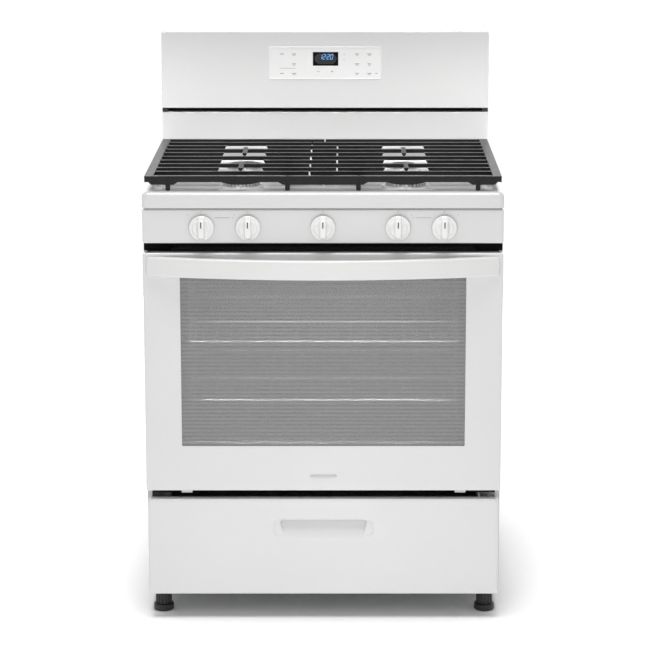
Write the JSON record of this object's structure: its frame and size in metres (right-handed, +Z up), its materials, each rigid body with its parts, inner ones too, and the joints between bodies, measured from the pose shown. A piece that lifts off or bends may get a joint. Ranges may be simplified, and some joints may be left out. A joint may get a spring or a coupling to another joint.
{
  "type": "freestanding gas range",
  "caption": "Freestanding gas range with cooktop burners and grates, push-to-turn knobs, backguard clock, drop-down oven door and storage drawer.",
  "frame": {"origin": "on the floor under the centre of the overall box", "axes": "+Z up, +X to the right seen from the front, +Y to the back; the door opens towards -Y"},
  "size_m": [0.759, 0.7179, 1.209],
  "materials": {
    "white_enamel": "glossy white porcelain enamel on steel",
    "dark_enamel": "dark speckled porcelain enamel",
    "galvanised_steel": "zinc-coated sheet steel",
    "hinge_steel": "painted pressed steel",
    "screw_steel": "zinc-plated steel",
    "stem_steel": "turned steel",
    "mineral_wool": "mineral wool blanket",
    "woven_seal": "woven glass-fibre seal",
    "chrome_wire": "bright plated wire",
    "lamp_glass": "frosted lamp glass",
    "burner_aluminium": "cast aluminium",
    "black_enamel": "satin black enamelled cap",
    "igniter_ceramic": "unglazed ceramic",
    "brass": "machined brass",
    "cast_zinc": "die-cast body",
    "black_plastic": "moulded black plastic",
    "white_film": "printed keypad film",
    "display_lens": "smoked display lens",
    "circuit_board": "circuit board with relays",
    "window_glass": "tinted, printed window glass",
    "inner_glass": "clear heat-resisting glass",
    "white_plastic": "glossy moulded white",
    "cast_iron": "matt black enamelled cast iron",
    "leg_plastic": "ribbed black nylon with a steel screw"
  },
  "bodies": {
    "cabinet": {"side_panel_left": "white_enamel", "side_panel_right": "white_enamel", "rear_panel": "galvanised_steel", "base_frame": "galvanised_steel", "front_frame": "dark_enamel", "oven_liner": "dark_enamel", "oven_insulation": "mineral_wool", "oven_floor": "dark_enamel", "rack_guides": "chrome_wire", "door_gasket": "woven_seal", "bake_burner": "galvanised_steel", "broil_burner": "galvanised_steel", "oven_lamp": "lamp_glass", "hinge_receivers": "hinge_steel", "drawer_rails": "galvanised_steel", "cabinet_screws": "screw_steel", "cooktop": "white_enamel", "burner_heads": "burner_aluminium", "burner_caps": "black_enamel", "spark_igniters": "igniter_ceramic", "gas_manifold": "galvanised_steel", "gas_valves": "brass", "burner_tubes": "burner_aluminium", "pressure_regulator": "cast_zinc", "power_inlet": "black_plastic", "control_panel": "white_enamel", "backguard_panel": "white_enamel", "console_panel": "white_enamel", "key_membrane": "white_film", "display_window": "display_lens", "control_board": "circuit_board", "vent_strip": "black_plastic", "backguard_cover": "galvanised_steel"},
    "door": {"door_panel": "white_enamel", "door_glass": "window_glass", "door_liner": "dark_enamel", "door_inner_glass": "inner_glass", "door_insulation": "mineral_wool", "door_handle": "white_plastic", "hinge_arms": "hinge_steel"},
    "drawer": {"drawer_front": "white_enamel", "drawer_box": "galvanised_steel"},
    "grate_left": {"grate_left": "cast_iron"},
    "grate_right": {"grate_right": "cast_iron"},
    "rack_lower": {"oven_rack_lower": "chrome_wire"},
    "rack_upper": {"oven_rack_upper": "chrome_wire"},
    "stem_left_outer": {"valve_stem_left_outer": "stem_steel"},
    "knob_left_outer": {"knob_left_outer": "white_plastic"},
    "stem_left_inner": {"valve_stem_left_inner": "stem_steel"},
    "knob_left_inner": {"knob_left_inner": "white_plastic"},
    "stem_centre": {"valve_stem_centre": "stem_steel"},
    "knob_centre": {"knob_centre": "white_plastic"},
    "stem_right_inner": {"valve_stem_right_inner": "stem_steel"},
    "knob_right_inner": {"knob_right_inner": "white_plastic"},
    "stem_right_outer": {"valve_stem_right_outer": "stem_steel"},
    "knob_right_outer": {"knob_right_outer": "white_plastic"},
    "leg_front_left": {"leg_front_left": "leg_plastic"},
    "leg_rear_left": {"leg_rear_left": "leg_plastic"},
    "leg_front_right": {"leg_front_right": "leg_plastic"},
    "leg_rear_right": {"leg_rear_right": "leg_plastic"}
  },
  "joints": [
    {"name": "door_hinge", "type": "hinge", "parent": "cabinet", "child": "door", "pos_m": [0, -0.287, 0.293], "axis": [1, 0, 0], "range_deg": [0, 90], "stiffness_Nm_per_rad": 12, "springref_deg": -17.19},
    {"name": "drawer_slide", "type": "slide", "parent": "cabinet", "child": "drawer", "axis": [0, -1, 0], "range_m": [0, 0.3]},
    {"name": "grate_left_lift", "type": "slide", "parent": "cabinet", "child": "grate_left", "axis": [0, 0, 1], "range_m": [0, 0.12]},
    {"name": "grate_right_lift", "type": "slide", "parent": "cabinet", "child": "grate_right", "axis": [0, 0, 1], "range_m": [0, 0.12]},
    {"name": "rack_lower_slide", "type": "slide", "parent": "cabinet", "child": "rack_lower", "axis": [0, -1, 0], "range_m": [0, 0.02]},
    {"name": "rack_upper_slide", "type": "slide", "parent": "cabinet", "child": "rack_upper", "axis": [0, -1, 0], "range_m": [0, 0.02]},
    {"name": "knob_turn_left_outer", "type": "hinge", "parent": "cabinet", "child": "stem_left_outer", "pos_m": [-0.254, -0.304, 0.86], "axis": [0, -1, 0], "range_deg": [0, 220]},
    {"name": "knob_push_left_outer", "type": "slide", "parent": "stem_left_outer", "child": "knob_left_outer", "axis": [0, 1, 0], "range_m": [0, 0.004], "stiffness_N_per_m": 500, "springref_m": -0.004},
    {"name": "knob_turn_left_inner", "type": "hinge", "parent": "cabinet", "child": "stem_left_inner", "pos_m": [-0.157, -0.304, 0.86], "axis": [0, -1, 0], "range_deg": [0, 220]},
    {"name": "knob_push_left_inner", "type": "slide", "parent": "stem_left_inner", "child": "knob_left_inner", "axis": [0, 1, 0], "range_m": [0, 0.004], "stiffness_N_per_m": 500, "springref_m": -0.004},
    {"name": "knob_turn_centre", "type": "hinge", "parent": "cabinet", "child": "stem_centre", "pos_m": [0, -0.304, 0.86], "axis": [0, -1, 0], "range_deg": [0, 220]},
    {"name": "knob_push_centre", "type": "slide", "parent": "stem_centre", "child": "knob_centre", "axis": [0, 1, 0], "range_m": [0, 0.004], "stiffness_N_per_m": 500, "springref_m": -0.004},
    {"name": "knob_turn_right_inner", "type": "hinge", "parent": "cabinet", "child": "stem_right_inner", "pos_m": [0.157, -0.304, 0.86], "axis": [0, -1, 0], "range_deg": [0, 220]},
    {"name": "knob_push_right_inner", "type": "slide", "parent": "stem_right_inner", "child": "knob_right_inner", "axis": [0, 1, 0], "range_m": [0, 0.004], "stiffness_N_per_m": 500, "springref_m": -0.004},
    {"name": "knob_turn_right_outer", "type": "hinge", "parent": "cabinet", "child": "stem_right_outer", "pos_m": [0.254, -0.304, 0.86], "axis": [0, -1, 0], "range_deg": [0, 220]},
    {"name": "knob_push_right_outer", "type": "slide", "parent": "stem_right_outer", "child": "knob_right_outer", "axis": [0, 1, 0], "range_m": [0, 0.004], "stiffness_N_per_m": 500, "springref_m": -0.004},
    {"name": "leg_screw_front_left", "type": "slide", "parent": "cabinet", "child": "leg_front_left", "axis": [0, 0, -1], "range_m": [0, 0.015]},
    {"name": "leg_screw_rear_left", "type": "slide", "parent": "cabinet", "child": "leg_rear_left", "axis": [0, 0, -1], "range_m": [0, 0.015]},
    {"name": "leg_screw_front_right", "type": "slide", "parent": "cabinet", "child": "leg_front_right", "axis": [0, 0, -1], "range_m": [0, 0.015]},
    {"name": "leg_screw_rear_right", "type": "slide", "parent": "cabinet", "child": "leg_rear_right", "axis": [0, 0, -1], "range_m": [0, 0.015]}
  ]
}
